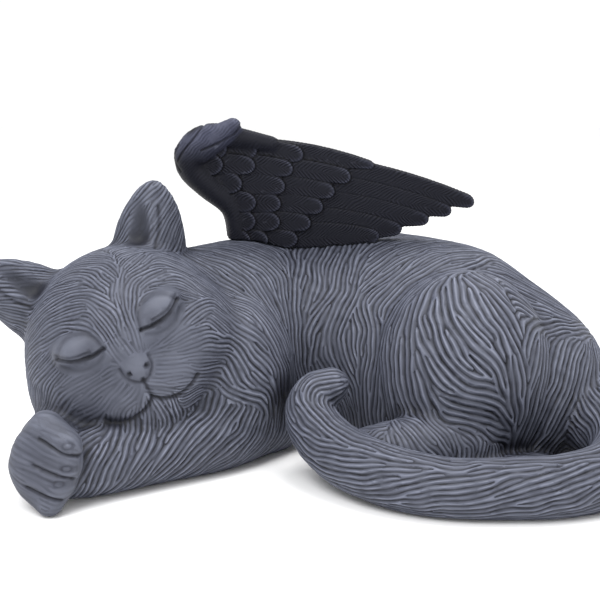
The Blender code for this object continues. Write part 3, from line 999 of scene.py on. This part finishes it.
# Unevenness of the barbs, each as an amount, a wavelength and a seed: how they sway, and how they thin out
BARB_SWAY = (0.5, 7.0, 21)
BARB_THINNING = (0.4, 6.0, 22)
MEAN_BARBS = 0.6
LEAST_BARBS = 0.1

# The shaft of a feather and the groove along its outline
SHAFT_HALF_WIDTH = 0.4
OUTLINE_DEPTH = 0.5
OUTLINE_HALF_WIDTH = 0.55

# The rim of a feather's tip where a highlight is painted on, lighter: how far in from the outline it is, how
# wide, how far from the tip it fades out, and how strong the painted highlight is
RIM_INSET = 1.3
RIM_HALF_WIDTH = 0.6
RIM_REACH = 9.0
RIM_HIGHLIGHT = 0.4

# The bend of the wing gets a painted highlight too, from a height on, over a rise
CAP_HIGHLIGHT = 0.7
CAP_HIGHLIGHT_HEIGHT = 42.0
CAP_HIGHLIGHT_RISE = 10.0

# The edges of the three feathers that wrap the bend of the wing
CAP_LINES = (
    [(-7.0, 60.0), (-11.0, 54.0), (-17.0, 47.0), (-20.0, 42.0)],
    [(9.5, 60.0), (5.0, 54.5), (-2.0, 50.5), (-9.0, 47.5)],
    [(-19.0, 50.0), (-21.5, 44.0), (-19.0, 38.0)],
)
CAP_LINE_HALF_WIDTH = 0.5


def wing_relief(places):
    """The wave of the barbs, their share, the depth of the outlines, and the painted highlight on rims and
    bend.
    """
    own = wing_directions(places)
    nearest = np.full(len(places), 1e9, np.float32)
    along, across, outline = (np.zeros(len(places), np.float32) for _ in range(3))
    for plate, own_along, own_across, own_outline in all_feathers(own):
        closer = plate < nearest
        nearest = np.where(closer, plate, nearest)
        along = np.where(closer, own_along, along)
        across = np.where(closer, own_across, across)
        outline = np.where(closer, own_outline, outline)
    sway = unevenness(places, *BARB_SWAY)
    advance = along * math.sin(BARB_ANGLE) - np.abs(across) * math.cos(BARB_ANGLE) + sway
    bend_advance = own[:, 1] * math.cos(BEND_ANGLE) - own[:, 0] * math.sin(BEND_ANGLE) + sway
    on_bend = np.minimum(wing_arm(own), wing_cap(own)) < nearest
    wave = np.exp(2j * math.pi / BARB_PITCH * np.where(on_bend, bend_advance, advance))
    shaft = np.exp(-((across / SHAFT_HALF_WIDTH) ** 2)) * ~on_bend
    share = np.clip(MEAN_BARBS + unevenness(places, *BARB_THINNING), LEAST_BARBS, 1)
    share = share * (1 - shaft) * np.where(on_bend, BEND_SHARE, 1)
    edge = np.exp(-((outline / OUTLINE_HALF_WIDTH) ** 2)) * ~on_bend
    bend = sum(stroke(own[:, 0], own[:, 1], curve2(line), CAP_LINE_HALF_WIDTH) for line in CAP_LINES)
    front = own[:, 2] > 0
    # Painted highlight: the rims of the feathers' tips on the front and the top of the bend are painted
    # lighter
    rim = np.exp(-(((outline + RIM_INSET) / RIM_HALF_WIDTH) ** 2)) * np.clip(1 + along / RIM_REACH, 0, 1)
    cap = np.clip(1 - wing_cap(own), 0, 1) * np.clip((own[:, 1] - CAP_HIGHLIGHT_HEIGHT) / CAP_HIGHLIGHT_RISE, 0, 1)
    painted_highlight = np.clip(RIM_HIGHLIGHT * rim * front * ~on_bend + CAP_HIGHLIGHT * cap, 0, 1)
    return wave, share, np.clip(edge * front + bend, 0, 1), painted_highlight


def mirror_in_spine(obj):
    """Turns the left wing into the right one."""
    turn, lean = math.radians(SPINE_TURN), math.radians(SPINE_LEAN)
    normal = np.array([-math.sin(turn) * math.cos(lean), math.cos(turn) * math.cos(lean), -math.sin(lean)])
    places, _ = surface(obj)
    distance = (places - np.array(SPINE_POINT)) @ normal
    set_vertices(obj.data, places - 2 * distance[:, None] * normal)
    obj.data.flip_normals()


def build_wings():
    clay = Clay(wing_on_back, WING_SPACE, WING_CELL)
    left = mesh_from_grid("left_wing_casting", clay.distance, clay.low, clay.cell)
    subdivide(left, 1)
    places, normals = surface(left)
    wave, share, lines, _ = wing_relief(places)
    depth = BARB_DEPTH * share * (1 - ridge(wave)) + OUTLINE_DEPTH * lines
    set_vertices(left.data, places - depth[:, None] * normals)
    simplify(left, WING_TRIANGLES)
    wave, share, lines, painted_highlight = wing_relief(surface(left)[0])
    store(left.data, "comb", np.column_stack([wave.real, wave.imag, share]))
    # The second number is the painted highlight on the bend and the feather rims
    store(left.data, "lines", np.column_stack([lines, painted_highlight, np.zeros_like(lines)]))
    right = left.copy()
    right.name = "right_wing_casting"
    right.data = left.data.copy()
    bpy.context.scene.collection.objects.link(right)
    mirror_in_spine(right)
    for wing in (left, right):
        to_statue_size(wing)
        wing.data.shade_smooth()
    return left, right


def wing_on_back(points):
    """The wing, with its foot cut to the shape of the back and the glue joint left open."""
    return np.maximum(left_wing(points), GLUE_WIDTH - torso(points))


# Painted resin


def node(tree, kind, **settings):
    made = tree.nodes.new(kind)
    for setting, value in settings.items():
        setattr(made, setting, value)
    return made


def link(tree, source, target):
    tree.links.new(source, target)


def arithmetic(tree, operation, first, second=0.0):
    made = node(tree, "ShaderNodeMath", operation=operation)
    for socket, value in zip(made.inputs, (first, second)):
        if isinstance(value, float):
            socket.default_value = value
        else:
            link(tree, value, socket)
    return made.outputs[0]


def colour_steps(tree, fac, stops):
    ramp = node(tree, "ShaderNodeValToRGB")
    elements = ramp.color_ramp.elements
    elements[0].position, elements[0].color = stops[0]
    elements[1].position, elements[1].color = stops[-1]
    for position, colour in stops[1:-1]:
        elements.new(position).color = colour
    link(tree, fac, ramp.inputs["Fac"])
    return ramp.outputs["Color"]


def multiplied(tree, factor, first, second):
    """The first colour times the second, by the factor."""
    made = node(tree, "ShaderNodeMix", data_type="RGBA", blend_type="MULTIPLY")
    if isinstance(factor, float):
        made.inputs["Factor"].default_value = factor
    else:
        link(tree, factor, made.inputs["Factor"])
    link(tree, first, made.inputs[6])
    link(tree, second, made.inputs[7])
    return made.outputs[2]


def clouds(tree, place, scale, detail):
    made = node(tree, "ShaderNodeTexNoise")
    made.inputs["Scale"].default_value = scale
    made.inputs["Detail"].default_value = detail
    link(tree, place.outputs["Object"], made.inputs["Vector"])
    return made.outputs["Fac"]


def stored(tree, name):
    """The three numbers that each vertex of the mesh carries under the name."""
    attribute = node(tree, "ShaderNodeAttribute", attribute_name=name)
    split = node(tree, "ShaderNodeSeparateXYZ")
    link(tree, attribute.outputs["Vector"], split.inputs["Vector"])
    return split.outputs


# Tones across a strand and across the fine hairs on it, from groove to crest
STRAND_TONES = [
    (0.0, (0.09, 0.09, 0.12, 1)), (0.28, (0.5, 0.5, 0.53, 1)),
    (0.65, (1, 1, 1, 1)), (1.0, (1.85, 1.85, 1.85, 1)),
]
HAIR_TONES = [(0.0, (0.6, 0.6, 0.62, 1)), (0.5, (1, 1, 1, 1)), (1.0, (1.15, 1.15, 1.15, 1))]

# How the paint's tone changes under the painted highlight, and in the carved lines, whose darkening also
# carries the painted shade
PLAIN_TINT = (1.0, 1.0, 1.0, 1.0)
HIGHLIGHT_TINT = (6.0, 6.1, 6.0, 1.0)
LINE_AND_SHADE_TINT = (0.25, 0.25, 0.29, 1.0)

# The sharpness of the surface, from hollow to edge, at which the paint has its groove, body and crest colours
EDGE_STEPS = (0.42, 0.5, 0.6)

# The uneven wash and the fine grain: patches to the metre and detail, the wash's tones and the grain's height
WASH_SCALE, WASH_DETAIL = 28.0, 5.0
WASH_TONES = [(0.3, (0.86, 0.86, 0.88, 1)), (0.7, (1.1, 1.1, 1.1, 1))]
GRAIN_SCALE, GRAIN_DETAIL = 900.0, 3.0
GRAIN_HEIGHT = 0.12

# The fine relief of strands, hairs and grain: the hairs' height, how strong it is and its height in metres
HAIR_HEIGHT = 0.2
RELIEF_STRENGTH = 0.5
RELIEF_HEIGHT = 0.0003

RESIN_ROUGHNESS = 0.6
CAT_GROOVE = (0.010, 0.012, 0.020, 1.0)
CAT_BODY = (0.060, 0.065, 0.087, 1.0)
CAT_CREST = (0.145, 0.155, 0.195, 1.0)
WING_GROOVE = (0.003, 0.003, 0.005, 1.0)
WING_BODY = (0.008, 0.0085, 0.014, 1.0)
WING_CREST = (0.022, 0.023, 0.032, 1.0)


def strand_profile(tree):
    """Profiles across the strands and the hairs on them, from the mesh's own wave, and the share of fur."""
    comb = stored(tree, "comb")
    phase = arithmetic(tree, "ARCTAN2", comb["Y"], comb["X"])
    half = arithmetic(tree, "MULTIPLY", phase, 0.5)
    triple = arithmetic(tree, "MULTIPLY", phase, 1.5)
    profile = arithmetic(tree, "ABSOLUTE", arithmetic(tree, "COSINE", half))
    hair = arithmetic(tree, "ABSOLUTE", arithmetic(tree, "COSINE", triple))
    return profile, hair, comb["Z"]


def painted_resin(name, groove, body, crest, shine, stripe_strength):
    """Matte paint that is dark in the carving, with the crests rubbed lighter and a faint uneven wash."""
    material = bpy.data.materials.new(name)
    material.use_nodes = True
    tree = material.node_tree
    shader = tree.nodes["Principled BSDF"]
    geometry = node(tree, "ShaderNodeNewGeometry")
    edges = list(zip(EDGE_STEPS, (groove, body, crest)))
    colour = colour_steps(tree, geometry.outputs["Pointiness"], edges)
    place = node(tree, "ShaderNodeTexCoord")
    wash = clouds(tree, place, WASH_SCALE, WASH_DETAIL)
    colour = multiplied(tree, 1.0, colour, colour_steps(tree, wash, WASH_TONES))
    grain = clouds(tree, place, GRAIN_SCALE, GRAIN_DETAIL)
    profile, hair, fur = strand_profile(tree)
    fur = arithmetic(tree, "MULTIPLY", fur, stripe_strength)
    colour = multiplied(tree, fur, colour, colour_steps(tree, profile, STRAND_TONES))
    hair_share = arithmetic(tree, "MULTIPLY", fur, wash)
    colour = multiplied(tree, hair_share, colour, colour_steps(tree, hair, HAIR_TONES))
    # The 'lines' numbers: X darkens the carved lines and adds the painted shade, Y adds the painted highlight
    lines_shade_and_highlight = stored(tree, "lines")
    for mark, tint in (("Y", HIGHLIGHT_TINT), ("X", LINE_AND_SHADE_TINT)):
        tone = colour_steps(tree, lines_shade_and_highlight[mark], [(0.0, PLAIN_TINT), (1.0, tint)])
        colour = multiplied(tree, 1.0, colour, tone)
    relief = arithmetic(tree, "ADD", profile, arithmetic(tree, "MULTIPLY", hair, HAIR_HEIGHT))
    height = arithmetic(tree, "MULTIPLY", grain, GRAIN_HEIGHT)
    height = arithmetic(tree, "ADD", height, arithmetic(tree, "MULTIPLY", relief, fur))
    link(tree, colour, shader.inputs["Base Color"])
    shader.inputs["Roughness"].default_value = RESIN_ROUGHNESS
    shader.inputs["Specular IOR Level"].default_value = shine
    bump = node(tree, "ShaderNodeBump")
    bump.inputs["Strength"].default_value = RELIEF_STRENGTH
    bump.inputs["Distance"].default_value = RELIEF_HEIGHT
    link(tree, height, bump.inputs["Height"])
    link(tree, bump.outputs["Normal"], shader.inputs["Normal"])
    return material


def dress(obj, material, node_name):
    obj.data.materials.clear()
    obj.data.materials.append(material)
    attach(obj, "root")
    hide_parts(node_name)


cat = build_cat()
left, right = build_wings()
cat_paint = painted_resin("cat_paint", CAT_GROOVE, CAT_BODY, CAT_CREST, shine=0.3, stripe_strength=1.0)
wing_paint = painted_resin(
    "wing_paint", WING_GROOVE, WING_BODY, WING_CREST, shine=0.2, stripe_strength=0.75
)
dress(cat, cat_paint, "sleeping_cat")
dress(left, wing_paint, "left_wing")
dress(right, wing_paint, "right_wing")


# Floor, light and camera, in metres
FLOOR_HALF_SIZE = 6.0
FLOOR_COLOUR = (0.96, 0.96, 0.96, 1.0)
FLOOR_ROUGHNESS = 0.9
SKY_STRENGTH = 1.05

# The lamps: name, place, size and power in watts, and the point that they shine at
LAMPS = (
    ("key", (-0.3, -0.6, 0.85), 0.5, 7.0),
    ("top", (0.2, 0.0, 1.1), 0.6, 7.5),
)
LIT_POINT = (0.0, 0.0, 0.05)

SENSOR_WIDTH = 36.0
NEAREST_SEEN = 0.01


def plain_material(name, colour, roughness):
    material = bpy.data.materials.new(name)
    material.use_nodes = True
    shader = material.node_tree.nodes["Principled BSDF"]
    shader.inputs["Base Color"].default_value = colour
    shader.inputs["Roughness"].default_value = roughness
    return material


def studio():
    mesh = bpy.data.meshes.new("floor")
    half = FLOOR_HALF_SIZE
    corners = [(-half, -half, 0), (half, -half, 0), (half, half, 0), (-half, half, 0)]
    mesh.from_pydata(corners, [], [(0, 1, 2, 3)])
    floor = bpy.data.objects.new("floor", mesh)
    bpy.context.scene.collection.objects.link(floor)
    floor.data.materials.append(plain_material("floor_white", FLOOR_COLOUR, FLOOR_ROUGHNESS))
    world = bpy.data.worlds.new("studio")
    bpy.context.scene.world = world
    world.use_nodes = True
    background = world.node_tree.nodes["Background"]
    background.inputs["Color"].default_value = (1.0, 1.0, 1.0, 1.0)
    background.inputs["Strength"].default_value = SKY_STRENGTH
    for name, place, size, power in LAMPS:
        light = bpy.data.lights.new(name, "AREA")
        light.energy = power
        light.size = size
        lamp = bpy.data.objects.new(name, light)
        lamp.location = place
        bpy.context.scene.collection.objects.link(lamp)
        aim(lamp, LIT_POINT)


def aim(obj, target):
    gaze = np.array(target) - np.array(obj.location)
    distance = float(np.linalg.norm(gaze[:2]))
    obj.rotation_euler = (math.atan2(distance, -gaze[2]), 0.0, math.atan2(-gaze[0], gaze[1]))


def camera():
    data = bpy.data.cameras.new("photo_view")
    data.sensor_width = SENSOR_WIDTH
    data.lens = SENSOR_WIDTH * FOCAL_LENGTH / PICTURE_WIDTH
    data.clip_start = NEAREST_SEEN
    obj = bpy.data.objects.new("photo_view", data)
    x, y, z = CAMERA_PLACE
    obj.location = [
        (x - PLAN_CENTRE[0]) * METRE_PER_CLAY_MM,
        (y - PLAN_CENTRE[1]) * METRE_PER_CLAY_MM,
        z * METRE_PER_CLAY_MM,
    ]
    obj.rotation_euler = (math.radians(90.0 - CAMERA_TILT), 0.0, 0.0)
    bpy.context.scene.collection.objects.link(obj)
    bpy.context.scene.camera = obj


studio()
camera()
bpy.context.scene.view_settings.view_transform = "Standard"
